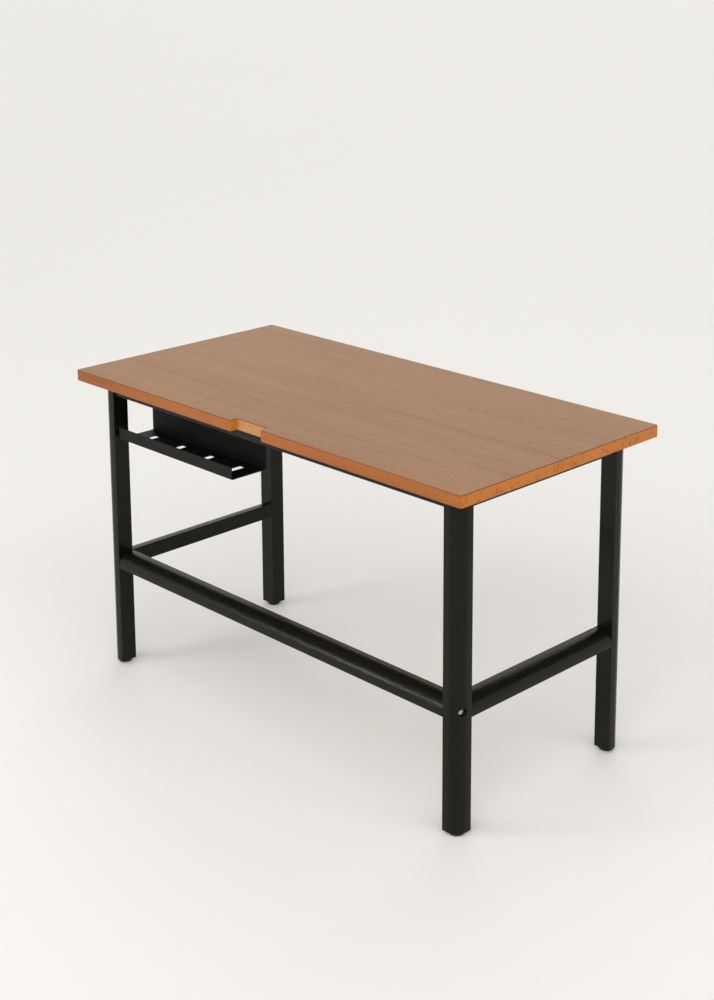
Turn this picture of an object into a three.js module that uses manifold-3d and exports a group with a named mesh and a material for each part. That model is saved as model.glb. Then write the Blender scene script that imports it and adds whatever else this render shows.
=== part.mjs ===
// A work table: a solid wood top with a notch in its front edge, on a black wood frame with three
// stretchers, a bent steel tray under the top and four levelling glides.
// Millimetres, +Z up, +X along the length, -Y towards the side with the notch, the long stretcher and
// the tray. The origin is on the floor, under the middle of the top.

import * as THREE from 'three';
import { mergeVertices } from 'three/addons/utils/BufferGeometryUtils.js';
import Module from 'manifold-3d';

const wasm = await Module();
wasm.setup();

// Driving dimensions

const fitGap = 0.3;                   // left between pieces that touch
const past = 1;                       // how far a cutting tool runs past the surface it opens
const ease = 1;                       // chamfer on the ends of turned pieces
const top = { length: 1200, width: 600, thickness: 25, height: 720, arris: 1.5, corner: 6 };
const notch = { width: 95, depth: 18, corner: 2.5 };
const leg = { size: 40, inset: 42, roundness: 28, arris: 1, clearOfFloor: 7 };
const rail = { depth: 30, thickness: 20, longInset: 5, sideInset: 7, arris: 1 };
const stretcher = { width: 40, depth: 36, bottom: 244, roundness: 28, arris: 1 };
const tray = {
  length: 402, centre: -307, lipFace: -251.5, depth: 99, bottom: 562, lipHeight: 28,
  sheet: 2, bend: 3, flange: 25,
};
const slot = { count: 4, pitch: 101, width: 17, length: 46, corner: 2 };
const tenon = {
  thickness: 8, width: 22, intoRail: 20, intoLeg: 18, intoBoredLeg: 15,
  aboveStretcherBottom: 16, insideLegMiddle: 4,
};
const railDowel = { radius: 4, intoRail: 22, intoLeg: 18 };
const stretcherDowel = { radius: 3, reach: 250, height: 252, intoLeg: 20, intoStretcher: 20 };
const bolt = {
  reach: 240, height: 260, headRadius: 6.5, headLength: 8, headSeat: 16, shankRadius: 4,
  length: 65, socketRadius: 3.4, socketDepth: 4, counterboreRadius: 8.35, headArris: 0.8,
  holeGap: 0.5, holePastNut: 12,
};
const barrelNut = { radius: 5, length: 26, fromEnd: 30, slotWidth: 1.6, slotDepth: 1.5 };
const topScrew = {
  headRadius: 4.5, headLength: 2.6, shankRadius: 2.2, length: 38, sunk: 7, wellGap: 1, pilotPastTip: 2,
  alongLong: 300, alongSide: 140,
};
const trayScrew = { headRadius: 4, headLength: 2.4, shankRadius: 2, length: 16, pitch: 101 };
const screwShape = { headCrown: 0.7, tipTaper: 1.5 };       // parts of the head's and the shank's radius
const glide = {
  offset: 2, padRadius: 15, padHeight: 6.7, padArris: 1.5, recessRadius: 8, recessFloor: 3.5,
  pivotRadius: 3, pivotFloor: 1.5, studRadius: 4, studTop: 30, hexRadius: 7.5,
};
const insert = { radius: 6, length: 15, boreTop: 36 };

// Places worked out from them

const underTop = top.height - top.thickness;
const longReach = top.width / 2 - leg.inset;        // to the outer faces of the legs on the long sides
const sideReach = top.length / 2 - leg.inset;       // and on the short sides
const legX = sideReach - leg.size / 2;
const legY = longReach - leg.size / 2;
const longSpan = 2 * (sideReach - leg.size) - 2 * fitGap;
const sideSpan = 2 * (longReach - leg.size) - 2 * fitGap;
const stretcherMiddle = stretcher.bottom + stretcher.depth / 2;
const railBottom = underTop - rail.depth;
const railTop = underTop - fitGap;
const railMiddle = underTop - rail.depth / 2;
const longRailReach = longReach - rail.longInset - rail.thickness / 2;
const sideRailReach = sideReach - rail.sideInset - rail.thickness / 2;
const stretcherTenonHeight = stretcher.bottom + tenon.aboveStretcherBottom;
const stretcherTenonReach = legX - tenon.insideLegMiddle;
const quarterTurn = Math.PI / 2;
const fineSegments = 24;
const smallSegments = 12;
const hexSegments = 6;
const weldDistance = 1e-4;

// Materials

const finishes = {
  topWood: { color: 0xb0744a, roughness: 0.5, metalness: 0 },
  blackWood: { color: 0x201f1c, roughness: 0.45, metalness: 0 },
  blackSteel: { color: 0x2d2f2d, roughness: 0.55, metalness: 0.3 },
  zinc: { color: 0xc9c5c0, roughness: 0.35, metalness: 0.9 },
  beech: { color: 0xd2a878, roughness: 0.7, metalness: 0 },
  nylon: { color: 0x151515, roughness: 0.6, metalness: 0 },
};

function piece(name, geometry, finish, position = [0, 0, 0]) {
  const mesh = new THREE.Mesh(geometry, new THREE.MeshStandardMaterial(finishes[finish]));
  mesh.name = name;
  mesh.position.set(...position);
  return mesh;
}

// Solids for cutting

function asManifold(geometry) {
  const bare = geometry.clone();
  bare.deleteAttribute('normal');
  bare.deleteAttribute('uv');
  const welded = mergeVertices(bare, weldDistance);
  return new wasm.Manifold(new wasm.Mesh({
    numProp: 3,
    vertProperties: welded.attributes.position.array,
    triVerts: Uint32Array.from(welded.index.array),
  }));
}

function asGeometry(solid) {
  const { vertProperties, triVerts } = solid.getMesh();
  const geometry = new THREE.BufferGeometry();
  geometry.setAttribute('position', new THREE.BufferAttribute(Float32Array.from(vertProperties), 3));
  geometry.setIndex(new THREE.BufferAttribute(Uint32Array.from(triVerts), 1));
  return geometry;
}

function cut(blank, tools) {
  return asGeometry(tools.reduce((solid, tool) => solid.subtract(asManifold(tool)), asManifold(blank)));
}

function block([x0, x1], [y0, y1], [z0, z1]) {
  const geometry = new THREE.BoxGeometry(Math.abs(x1 - x0), Math.abs(y1 - y0), Math.abs(z1 - z0));
  return geometry.translate((x0 + x1) / 2, (y0 + y1) / 2, (z0 + z1) / 2);
}

function rod(axis, radius, [from, to], [across, up], segments = smallSegments) {
  const geometry = new THREE.CylinderGeometry(radius, radius, Math.abs(to - from), segments);
  const middle = (from + to) / 2;
  if (axis === 'x') return geometry.rotateZ(quarterTurn).translate(middle, across, up);
  if (axis === 'y') return geometry.translate(across, middle, up);
  return geometry.rotateX(quarterTurn).translate(across, up, middle);
}

// A solid turned about the Z axis from [radius, height] pairs that start and end on it
function turned(profile, segments = smallSegments) {
  const points = profile.map(([radius, height]) => new THREE.Vector2(radius, height));
  return new THREE.LatheGeometry(points, segments).rotateX(quarterTurn);
}

// An outline through square corners, each given as [x, y, radius, steps in its arc]
function roundedOutline(corners) {
  return new THREE.Shape(corners.flatMap(([x, y, radius, steps], index) => {
    const corner = new THREE.Vector2(x, y);
    const towards = ([otherX, otherY]) => new THREE.Vector2(otherX, otherY).sub(corner).setLength(radius);
    const back = towards(corners.at(index - 1));
    const ahead = towards(corners[(index + 1) % corners.length]);
    return Array.from({ length: steps + 1 }, (_, step) => {
      const angle = quarterTurn * step / steps;
      return corner.clone()
        .addScaledVector(back, 1 - Math.sin(angle))
        .addScaledVector(ahead, 1 - Math.cos(angle));
    });
  }));
}

// A rectangle round the origin with one large round corner and the other three eased
function barOutline(width, depth, roundness, arris, signU = 1, signV = 1) {
  const [u, v] = [signU * width / 2, signV * depth / 2];
  return roundedOutline([[u, v, roundness, 8], [-u, v, arris, 1], [-u, -v, arris, 1], [u, -v, arris, 1]]);
}

// A bar along Y whose section is an outline in X and Z
function barAlongY(outline, length, reach, height) {
  const geometry = new THREE.ExtrudeGeometry(outline, { depth: length, bevelEnabled: false });
  return geometry.translate(0, 0, -length / 2).rotateX(quarterTurn).translate(reach, 0, height);
}

// Top

function topScrewPlaces() {
  const places = [];
  for (const [alongX, alongY] of [[-1, -1], [1, -1], [-1, 1], [1, 1]]) {
    const corner = `${alongY < 0 ? 'front' : 'rear'}_${alongX < 0 ? 'left' : 'right'}`;
    places.push(
      { name: `top_screw_long_${corner}`, x: alongX * topScrew.alongLong, y: alongY * longRailReach },
      { name: `top_screw_side_${corner}`, x: alongX * sideRailReach, y: alongY * topScrew.alongSide },
    );
  }
  return places;
}

function trayScrewPlaces() {
  return [-1.5, -0.5, 0.5, 1.5].map((step, index) => ({
    name: `tray_screw_${index + 1}`,
    x: tray.centre + step * trayScrew.pitch,
    y: tray.lipFace + tray.depth + tray.flange / 2,
  }));
}

function topPanel() {
  const [halfLength, halfWidth, halfNotch] = [top.length / 2, top.width / 2, notch.width / 2];
  const outer = [top.corner, 4];
  const mouth = [notch.corner, 4];
  const inner = [0, 1];
  const outline = roundedOutline([
    [-halfLength, -halfWidth, ...outer], [-halfNotch, -halfWidth, ...mouth],
    [-halfNotch, notch.depth - halfWidth, ...inner], [halfNotch, notch.depth - halfWidth, ...inner],
    [halfNotch, -halfWidth, ...mouth], [halfLength, -halfWidth, ...outer],
    [halfLength, halfWidth, ...outer], [-halfLength, halfWidth, ...outer],
  ]);
  const blank = new THREE.ExtrudeGeometry(outline, {
    depth: top.thickness - 2 * top.arris,
    bevelThickness: top.arris, bevelSize: top.arris, bevelOffset: -top.arris, bevelSegments: 1,
  }).translate(0, 0, top.arris);
  const pilot = (place, screw, length) =>
    rod('z', screw.shankRadius + fitGap, [-past, length], [place.x, place.y]);
  const railPilotDepth = topScrew.length + topScrew.sunk - rail.depth + topScrew.pilotPastTip;
  const pilots = [
    ...topScrewPlaces().map((place) => pilot(place, topScrew, railPilotDepth)),
    ...trayScrewPlaces().map((place) => pilot(place, trayScrew, trayScrew.length)),
  ];
  return piece('top_panel', cut(blank, pilots), 'topWood', [0, 0, underTop]);
}

// Legs: built round the middle of their section, with the large round corner outwards

function legPiece(name, signX, signY) {
  const outline = barOutline(leg.size, leg.size, leg.roundness, leg.arris, signX, signY);
  const height = underTop - fitGap - leg.clearOfFloor;
  const blank = new THREE.ExtrudeGeometry(outline, { depth: height, bevelEnabled: false });
  blank.translate(0, 0, leg.clearOfFloor);
  const face = leg.size / 2;
  const along = (from, to) => [signX * from, signX * to];
  const across = (from, to) => [signY * from, signY * to];
  const mortise = (reach, depth, middle) => block(
    along(reach - legX - tenon.thickness / 2 - fitGap, reach - legX + tenon.thickness / 2 + fitGap),
    across(-face - past, -face + depth + fitGap),
    [middle - tenon.width / 2 - fitGap, middle + tenon.width / 2 + fitGap],
  );
  const tools = [
    mortise(sideRailReach, tenon.intoLeg, railMiddle),
    mortise(stretcherTenonReach, tenon.intoBoredLeg, stretcherTenonHeight),
    rod('x', railDowel.radius + fitGap, along(-face - past, -face + railDowel.intoLeg + fitGap),
      [signY * (longRailReach - legY), railMiddle]),
    rod('z', insert.radius + fitGap, [leg.clearOfFloor - past, leg.clearOfFloor + insert.length + fitGap],
      [-signX * glide.offset, -signY * glide.offset]),
    rod('z', glide.studRadius + 2 * fitGap, [leg.clearOfFloor, insert.boreTop],
      [-signX * glide.offset, -signY * glide.offset]),
  ];
  if (signY < 0) {
    const boltPlace = [signY * (bolt.reach - legY), bolt.height];
    tools.push(
      rod('x', bolt.shankRadius + bolt.holeGap, along(-face - past, face + past), boltPlace),
      rod('x', bolt.counterboreRadius, along(face - bolt.headSeat - fitGap, face + past), boltPlace,
        fineSegments),
      rod('x', stretcherDowel.radius + fitGap,
        along(-face - past, -face + stretcherDowel.intoLeg + fitGap),
        [signY * (stretcherDowel.reach - legY), stretcherDowel.height]),
    );
  }
  return piece(name, cut(blank, tools), 'blackWood', [signX * legX, signY * legY, 0]);
}

// Rails and stretchers: each is built in the frame of its side of the table, where X points outwards
// and Y runs along the side

function railPiece(name, reach, span, jointTool, screwsAt) {
  const outline = barOutline(rail.thickness, rail.depth - fitGap, rail.arris, rail.arris);
  const blank = barAlongY(outline, span, reach, (railBottom + railTop) / 2);
  const tools = [-1, 1].map((end) => jointTool(end * span / 2, end));
  for (const place of [-screwsAt, screwsAt]) {
    tools.push(
      rod('z', topScrew.shankRadius + fitGap, [railBottom - past, railTop + past], [reach, place]),
      rod('z', topScrew.headRadius + topScrew.wellGap, [railBottom - past, railBottom + topScrew.sunk],
        [reach, place]),
    );
  }
  return piece(name, cut(blank, tools), 'blackWood');
}

function railMortise(reach, middle) {
  return (endY, end) => block(
    [reach - tenon.thickness / 2 - fitGap, reach + tenon.thickness / 2 + fitGap],
    [endY + end * past, endY - end * (tenon.intoRail + fitGap)],
    [middle - tenon.width / 2 - fitGap, middle + tenon.width / 2 + fitGap],
  );
}

function railDowelHole(reach) {
  return (endY, end) => rod('y', railDowel.radius + fitGap,
    [endY + end * past, endY - end * (railDowel.intoRail + fitGap)], [reach, railMiddle]);
}

function stretcherPiece(name, sideOuter, span, jointTools) {
  const outline = barOutline(stretcher.width, stretcher.depth, stretcher.roundness, stretcher.arris);
  const blank = barAlongY(outline, span, sideOuter - stretcher.width / 2, stretcherMiddle);
  const tools = [-1, 1].flatMap((end) => jointTools(end * span / 2, end));
  return piece(name, cut(blank, tools), 'blackWood');
}

function boltedEnd(endY, end) {
  const nutY = endY - end * barrelNut.fromEnd;
  return [
    rod('y', bolt.shankRadius + bolt.holeGap, [endY + end * past, nutY - end * bolt.holePastNut],
      [bolt.reach, bolt.height]),
    rod('z', barrelNut.radius + fitGap,
      [stretcher.bottom - past, stretcher.bottom + barrelNut.length + fitGap], [bolt.reach, nutY]),
    rod('y', stretcherDowel.radius + fitGap,
      [endY + end * past, endY - end * (stretcherDowel.intoStretcher + fitGap)],
      [stretcherDowel.reach, stretcherDowel.height]),
  ];
}

function tenonedEnd(endY, end) {
  return [railMortise(stretcherTenonReach, stretcherTenonHeight)(endY, end)];
}

// Joint hardware

function looseTenon(name, reach, middle, endY, end, intoLeg) {
  const halfWidth = tenon.width / 2;
  const radius = tenon.thickness / 2;
  const shape = new THREE.Shape();
  shape.absarc(0, halfWidth - radius, radius, 0, Math.PI);
  shape.absarc(0, radius - halfWidth, radius, Math.PI, 2 * Math.PI);
  const length = tenon.intoRail + intoLeg;
  const geometry = new THREE.ExtrudeGeometry(shape, {
    depth: length, bevelEnabled: false, curveSegments: 6,
  });
  geometry.translate(0, 0, -length / 2).rotateX(quarterTurn);
  return piece(name, geometry, 'beech', [reach, endY + end * (intoLeg - tenon.intoRail) / 2, middle]);
}

function dowelPin(name, radius, reach, height, endY, end, intoLeg, intoBar) {
  const half = (intoLeg + intoBar) / 2;
  const profile = [
    [0, -half], [radius - ease, -half], [radius, ease - half],
    [radius, half - ease], [radius - ease, half], [0, half],
  ];
  const geometry = turned(profile).rotateX(quarterTurn);
  return piece(name, geometry, 'beech', [reach, endY + end * (intoLeg - intoBar) / 2, height]);
}

// A bolt along Y with its head at the end that `end` points to
function stretcherBolt(name, end) {
  const profile = [
    [0, -bolt.length], [bolt.shankRadius - ease, -bolt.length], [bolt.shankRadius, ease - bolt.length],
    [bolt.shankRadius, 0], [bolt.headRadius, 0], [bolt.headRadius, bolt.headLength - bolt.headArris],
    [bolt.headRadius - bolt.headArris, bolt.headLength], [0, bolt.headLength],
  ];
  const socket = rod('z', bolt.socketRadius,
    [bolt.headLength - bolt.socketDepth, bolt.headLength + bolt.socketDepth], [0, 0], hexSegments);
  const geometry = cut(turned(profile, fineSegments), [socket]).rotateX(-end * quarterTurn);
  return piece(name, geometry, 'zinc', [bolt.reach, end * (sideReach - bolt.headSeat), bolt.height]);
}

function barrelNutPiece(name, end) {
  const { radius, length, fromEnd, slotWidth, slotDepth } = barrelNut;
  const across = [-radius - past, radius + past];
  const blank = rod('z', radius, [0, length], [0, 0], fineSegments);
  const threadedHole = rod('y', bolt.shankRadius + fitGap, across, [0, bolt.height - stretcher.bottom]);
  const driverSlot = block(across, [-slotWidth / 2, slotWidth / 2], [-past, slotDepth]);
  const place = [bolt.reach, end * (longSpan / 2 - fromEnd), stretcher.bottom];
  return piece(name, cut(blank, [threadedHole, driverSlot]), 'zinc', place);
}

// A pan head screw that points up, with its head seated at height 0
function screwPiece(name, screw, position) {
  const { headRadius, headLength, shankRadius, length } = screw;
  const profile = [
    [0, -headLength], [headRadius * screwShape.headCrown, -headLength], [headRadius, -headLength / 2],
    [headRadius, 0], [shankRadius, 0], [shankRadius, length - shankRadius * screwShape.tipTaper],
    [0, length],
  ];
  return piece(name, turned(profile), 'zinc', position);
}

// Tray: one sheet bent into a lip, a floor, a back and a flange that lies against the top

function trayOutline() {
  const { sheet, bend } = tray;
  const front = tray.lipFace;
  const back = front + tray.depth;
  const flangeTop = underTop - fitGap;
  const inner = bend - sheet;
  const shape = new THREE.Shape();
  shape.moveTo(front, tray.bottom + tray.lipHeight);
  shape.lineTo(front, tray.bottom + bend);
  shape.absarc(front + bend, tray.bottom + bend, bend, Math.PI, 1.5 * Math.PI);
  shape.lineTo(back - bend, tray.bottom);
  shape.absarc(back - bend, tray.bottom + bend, bend, -quarterTurn, 0);
  shape.lineTo(back, flangeTop - sheet - inner);
  shape.absarc(back + inner, flangeTop - sheet - inner, inner, Math.PI, quarterTurn, true);
  shape.lineTo(back + tray.flange, flangeTop - sheet);
  shape.lineTo(back + tray.flange, flangeTop);
  shape.lineTo(back + inner, flangeTop);
  shape.absarc(back + inner, flangeTop - bend, bend, quarterTurn, Math.PI);
  shape.lineTo(back - sheet, tray.bottom + bend);
  shape.absarc(back - bend, tray.bottom + bend, inner, 0, -quarterTurn, true);
  shape.lineTo(front + bend, tray.bottom + sheet);
  shape.absarc(front + bend, tray.bottom + bend, inner, 1.5 * Math.PI, Math.PI, true);
  shape.lineTo(front + sheet, tray.bottom + tray.lipHeight);
  return shape;
}

function slotTool(x) {
  const [u, v, r] = [slot.width / 2, slot.length / 2, slot.corner];
  const shape = new THREE.Shape();
  shape.absarc(u - r, v - r, r, 0, quarterTurn);
  shape.absarc(r - u, v - r, r, quarterTurn, Math.PI);
  shape.absarc(r - u, r - v, r, Math.PI, 1.5 * Math.PI);
  shape.absarc(u - r, r - v, r, 1.5 * Math.PI, 2 * Math.PI);
  const depth = tray.sheet + 2 * past;
  const geometry = new THREE.ExtrudeGeometry(shape, { depth, bevelEnabled: false, curveSegments: 2 });
  return geometry.translate(x, tray.lipFace + tray.depth / 2, tray.bottom - past);
}

function trayPiece() {
  const blank = new THREE.ExtrudeGeometry(trayOutline(), {
    depth: tray.length, bevelEnabled: false, curveSegments: 3,
  });
  // the outline's axes are Y and Z, and the extrusion runs along X
  const axes = new THREE.Matrix4().makeBasis(
    new THREE.Vector3(0, 1, 0), new THREE.Vector3(0, 0, 1), new THREE.Vector3(1, 0, 0));
  blank.applyMatrix4(axes).translate(-tray.length / 2, 0, 0);
  const firstSlot = -slot.pitch * (slot.count - 1) / 2;
  const slots = Array.from({ length: slot.count }, (_, index) => slotTool(firstSlot + index * slot.pitch));
  const flangeBottom = underTop - fitGap - tray.sheet;
  const holes = trayScrewPlaces().map((place) => rod('z', trayScrew.shankRadius + 2 * fitGap,
    [flangeBottom - past, underTop + past], [place.x - tray.centre, place.y]));
  return piece('under_top_tray', cut(blank, [...slots, ...holes]), 'blackSteel', [tray.centre, 0, 0]);
}

// Levelling glides: the stud turns in the threaded insert and carries the pad up and down

function glidePad(name, position) {
  const { padRadius, padHeight, padArris, recessRadius, recessFloor, pivotRadius, pivotFloor } = glide;
  const profile = [
    [0, 0], [padRadius - padArris, 0], [padRadius, padArris], [padRadius, padHeight - ease],
    [padRadius - ease, padHeight], [recessRadius, padHeight], [recessRadius, recessFloor],
    [pivotRadius + fitGap, recessFloor], [pivotRadius + fitGap, pivotFloor], [0, pivotFloor],
  ];
  return piece(name, turned(profile, fineSegments), 'nylon', position);
}

function glideStud(name, position) {
  const { pivotRadius, pivotFloor, recessFloor, studRadius, studTop, hexRadius, padHeight } = glide;
  const shaft = turned([
    [0, pivotFloor + fitGap], [pivotRadius, pivotFloor + fitGap], [pivotRadius, recessFloor + ease],
    [studRadius, recessFloor + ease], [studRadius, studTop - ease], [studRadius - ease, studTop],
    [0, studTop],
  ]);
  const hex = rod('z', hexRadius, [recessFloor + fitGap, padHeight - fitGap], [0, 0], hexSegments);
  return piece(name, asGeometry(asManifold(shaft).add(asManifold(hex))), 'zinc', position);
}

function glideInsert(name, [x, y]) {
  const { radius, length } = insert;
  const bore = glide.studRadius + fitGap;
  const profile = [
    [bore, 0], [radius - ease, 0], [radius, ease], [radius, length], [bore, length], [bore, 0],
  ];
  return piece(name, turned(profile), 'zinc', [x, y, leg.clearOfFloor]);
}

// Assembly

const table = new THREE.Group();
table.add(topPanel(), trayPiece());

for (const place of topScrewPlaces()) {
  table.add(screwPiece(place.name, topScrew, [place.x, place.y, railBottom + topScrew.sunk - fitGap]));
}
for (const place of trayScrewPlaces()) {
  const seat = underTop - tray.sheet - 2 * fitGap;
  table.add(screwPiece(place.name, trayScrew, [place.x, place.y, seat]));
}

for (const [corner, signX, signY] of [
  ['front_left', -1, -1], ['front_right', 1, -1], ['rear_left', -1, 1], ['rear_right', 1, 1],
]) {
  const [x, y] = [signX * (legX - glide.offset), signY * (legY - glide.offset)];
  table.add(
    legPiece(`leg_${corner}`, signX, signY),
    glidePad(`glide_pad_${corner}`, [x, y, 0]),
    glideStud(`glide_stud_${corner}`, [x, y, 0]),
    glideInsert(`glide_insert_${corner}`, [x, y]),
  );
}

for (const [side, turn] of [['left', Math.PI], ['right', 0]]) {
  const group = new THREE.Group();
  group.rotation.z = turn;
  group.add(
    railPiece(`rail_${side}`, sideRailReach, sideSpan, railMortise(sideRailReach, railMiddle),
      topScrew.alongSide),
    stretcherPiece(`stretcher_${side}`, sideReach, sideSpan, tenonedEnd),
  );
  for (const end of [-1, 1]) {
    const place = end * Math.cos(turn) < 0 ? 'front' : 'rear';
    const endY = end * sideSpan / 2;
    group.add(
      looseTenon(`rail_tenon_${side}_${place}`, sideRailReach, railMiddle, endY, end, tenon.intoLeg),
      looseTenon(`stretcher_tenon_${side}_${place}`, stretcherTenonReach, stretcherTenonHeight, endY,
        end, tenon.intoBoredLeg),
    );
  }
  table.add(group);
}

for (const [side, turn] of [['front', -quarterTurn], ['rear', quarterTurn]]) {
  const group = new THREE.Group();
  group.rotation.z = turn;
  group.add(railPiece(`rail_${side}`, longRailReach, longSpan, railDowelHole(longRailReach),
    topScrew.alongLong));
  for (const end of [-1, 1]) {
    const place = end * Math.sin(turn) > 0 ? 'left' : 'right';
    const endY = end * longSpan / 2;
    group.add(dowelPin(`rail_dowel_${side}_${place}`, railDowel.radius, longRailReach, railMiddle,
      endY, end, railDowel.intoLeg, railDowel.intoRail));
    if (side === 'front') {
      group.add(
        stretcherBolt(`stretcher_bolt_${place}`, end),
        barrelNutPiece(`barrel_nut_${place}`, end),
        dowelPin(`stretcher_dowel_${place}`, stretcherDowel.radius, stretcherDowel.reach,
          stretcherDowel.height, endY, end, stretcherDowel.intoLeg, stretcherDowel.intoStretcher),
      );
    }
  }
  if (side === 'front') group.add(stretcherPiece('stretcher_front', longReach, longSpan, boltedEnd));
  table.add(group);
}

export default table;
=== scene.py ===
import math
import random

import bmesh
import bpy
from mathutils import Matrix, Vector


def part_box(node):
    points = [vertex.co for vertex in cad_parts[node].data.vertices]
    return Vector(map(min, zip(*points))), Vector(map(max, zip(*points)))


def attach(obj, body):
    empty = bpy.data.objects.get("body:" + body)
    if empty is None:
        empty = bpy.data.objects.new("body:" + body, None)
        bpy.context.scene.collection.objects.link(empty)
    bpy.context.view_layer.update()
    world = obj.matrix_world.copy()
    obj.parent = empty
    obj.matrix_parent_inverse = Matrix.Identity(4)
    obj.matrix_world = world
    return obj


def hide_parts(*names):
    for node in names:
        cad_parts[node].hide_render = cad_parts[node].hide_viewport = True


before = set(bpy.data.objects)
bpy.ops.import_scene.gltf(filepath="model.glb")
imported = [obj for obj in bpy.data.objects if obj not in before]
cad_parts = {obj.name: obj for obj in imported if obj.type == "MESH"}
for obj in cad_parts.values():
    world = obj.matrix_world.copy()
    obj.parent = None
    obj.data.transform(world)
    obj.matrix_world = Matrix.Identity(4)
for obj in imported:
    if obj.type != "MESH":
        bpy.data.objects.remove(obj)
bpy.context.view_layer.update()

# The looks of a work table: a reddish solid wood top with a cable notch, a black stained wood frame,
# a bent steel cable tray and four levelling glides. Metres, +Z up, -Y towards the notch.

mm = 0.001
corners = {
    "FrontLeft": ("front_left", -1, -1), "FrontRight": ("front_right", 1, -1),
    "RearLeft": ("rear_left", -1, 1), "RearRight": ("rear_right", 1, 1),
}


# Camera, floor and lights

camera = {
    "place": (2.514, -2.412, 1.755), "lens": 59.8, "sensor": 36,
    "turn": 45.91, "tiltDown": 11.54, "roll": -0.31, "shiftUp": -0.25,
}
studio = {
    "floorSize": 160, "floorColour": (0.90, 0.886, 0.858),
    "skyTint": (1.0, 0.99, 0.975), "skyStrength": 1.17,
    "openBands": ((0.0, 1.0), (0.34, 1.0), (0.40, 1.6), (0.70, 1.6), (0.85, 0.62)),      # height, brightness
    "sideBands": ((0.0, 1.0), (0.345, 0.95), (0.375, 0.08), (0.70, 0.10), (0.85, 0.62)),
    "sideFacing": (-0.574, 0.819, 0.0), "sideWindow": ((0.40, 0), (0.45, 1), (0.92, 1), (0.96, 0.42)),
}
lamps = {
    "leftLow": {"place": (-1.77, -2.85, 1.05), "size": (0.7, 0.7), "watts": 15},
    "rightFront": {"place": (2.6, -3.3, 3.0), "size": (2.4, 2.4), "watts": 34},
}


def setCamera():
    bpy.ops.object.camera_add(location=camera["place"])
    made = bpy.context.object
    made.name = "camera"
    turn = Matrix.Rotation(math.radians(camera["turn"]), 4, "Z")
    tilt = Matrix.Rotation(math.radians(90 - camera["tiltDown"]), 4, "X")
    roll = Matrix.Rotation(math.radians(camera["roll"]), 4, "Z")
    made.matrix_world = Matrix.Translation(camera["place"]) @ turn @ tilt @ roll
    made.data.lens = camera["lens"]
    made.data.sensor_width = camera["sensor"]
    made.data.shift_y = camera["shiftUp"]
    made.data.clip_end = 2 * studio["floorSize"]
    bpy.context.scene.camera = made


def setLamps():
    aim = Vector((0, 0, 0.4))
    for name, lamp in lamps.items():
        bpy.ops.object.light_add(type="AREA", location=lamp["place"])
        made = bpy.context.object
        made.name = name
        made.data.shape = "RECTANGLE"
        made.data.size, made.data.size_y = lamp["size"]
        made.data.energy = lamp["watts"]
        made.rotation_euler = (aim - made.location).to_track_quat("-Z", "Y").to_euler()


# Shader sums: a wire is a socket, and sums of wires add their Math nodes

class Wire:
    def __init__(self, finish, socket):
        self.finish = finish
        self.socket = socket

    def sum(self, operation, first, second):
        return self.finish.node("ShaderNodeMath", {"operation": operation}, {0: first, 1: second})

    def __add__(self, other):
        return self.sum("ADD", self, other)

    def __radd__(self, other):
        return self.sum("ADD", other, self)

    def __sub__(self, other):
        return self.sum("SUBTRACT", self, other)

    def __rsub__(self, other):
        return self.sum("SUBTRACT", other, self)

    def __mul__(self, other):
        return self.sum("MULTIPLY", self, other)

    def __rmul__(self, other):
        return self.sum("MULTIPLY", other, self)

    def __gt__(self, other):
        return self.sum("GREATER_THAN", self, other)

    def __pow__(self, other):
        return self.sum("POWER", self, other)


class Finish:
    def __init__(self, owner, coordinates="Object"):
        self.owner = owner
        owner.use_nodes = True
        self.tree = owner.node_tree
        self.tree.nodes.clear()
        self.place = self.node("ShaderNodeTexCoord", out=coordinates)

    def node(self, kind, settings=None, inputs=None, out=0):
        made = self.tree.nodes.new(kind)
        for name, value in (settings or {}).items():
            setattr(made, name, value)
        for name, value in (inputs or {}).items():
            if isinstance(value, Wire):
                self.tree.links.new(value.socket, made.inputs[name])
            else:
                made.inputs[name].default_value = value
        return Wire(self, made.outputs[out]) if made.outputs else None

    def noise(self, stretch, detail=3, roughness=0.55, place=None, distortion=0):
        spread = self.node("ShaderNodeVectorMath", {"operation": "MULTIPLY"},
                           {0: place or self.place, 1: stretch})
        return self.node("ShaderNodeTexNoise", {}, {
            "Vector": spread, "Scale": 1, "Detail": detail, "Roughness": roughness,
            "Distortion": distortion}, "Fac")

    def range(self, value, low, high, toLow=0, toHigh=1):
        return self.node("ShaderNodeMapRange", {"clamp": True}, {
            "Value": value, "From Min": low, "From Max": high, "To Min": toLow, "To Max": toHigh})

    def mix(self, factor, first, second, blend="MIX"):
        return self.node("ShaderNodeMix", {"data_type": "RGBA", "blend_type": blend}, {
            0: factor, 6: asColour(first), 7: asColour(second)}, 2)

    def ramp(self, value, stops):                      # stops are (place, brightness)
        made = self.node("ShaderNodeValToRGB", {}, {"Fac": value}, "Color")
        elements = made.socket.node.color_ramp.elements
        while len(elements) < len(stops):
            elements.new(1)
        for stop, (place, brightness) in zip(elements, stops):
            stop.position = place
            stop.color = (brightness, brightness, brightness, 1)
        return made

    def arris(self):                                   # 1 on the eased edges, 0 on the broad faces
        return self.node("ShaderNodeAttribute", {"attribute_name": "arris"}, out="Fac")

    def bump(self, height, strength, depth):
        return self.node("ShaderNodeBump", {}, {"Height": height, "Strength": strength, "Distance": depth})

    def surface(self, **sockets):
        named = {name.replace("_", " "): value for name, value in sockets.items()}
        shader = self.node("ShaderNodeBsdfPrincipled", {}, named)
        self.node("ShaderNodeOutputMaterial", {}, {"Surface": shader})
        return self.owner


def asColour(value):
    return value if isinstance(value, Wire) else (*value, 1)


# Finishes

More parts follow.
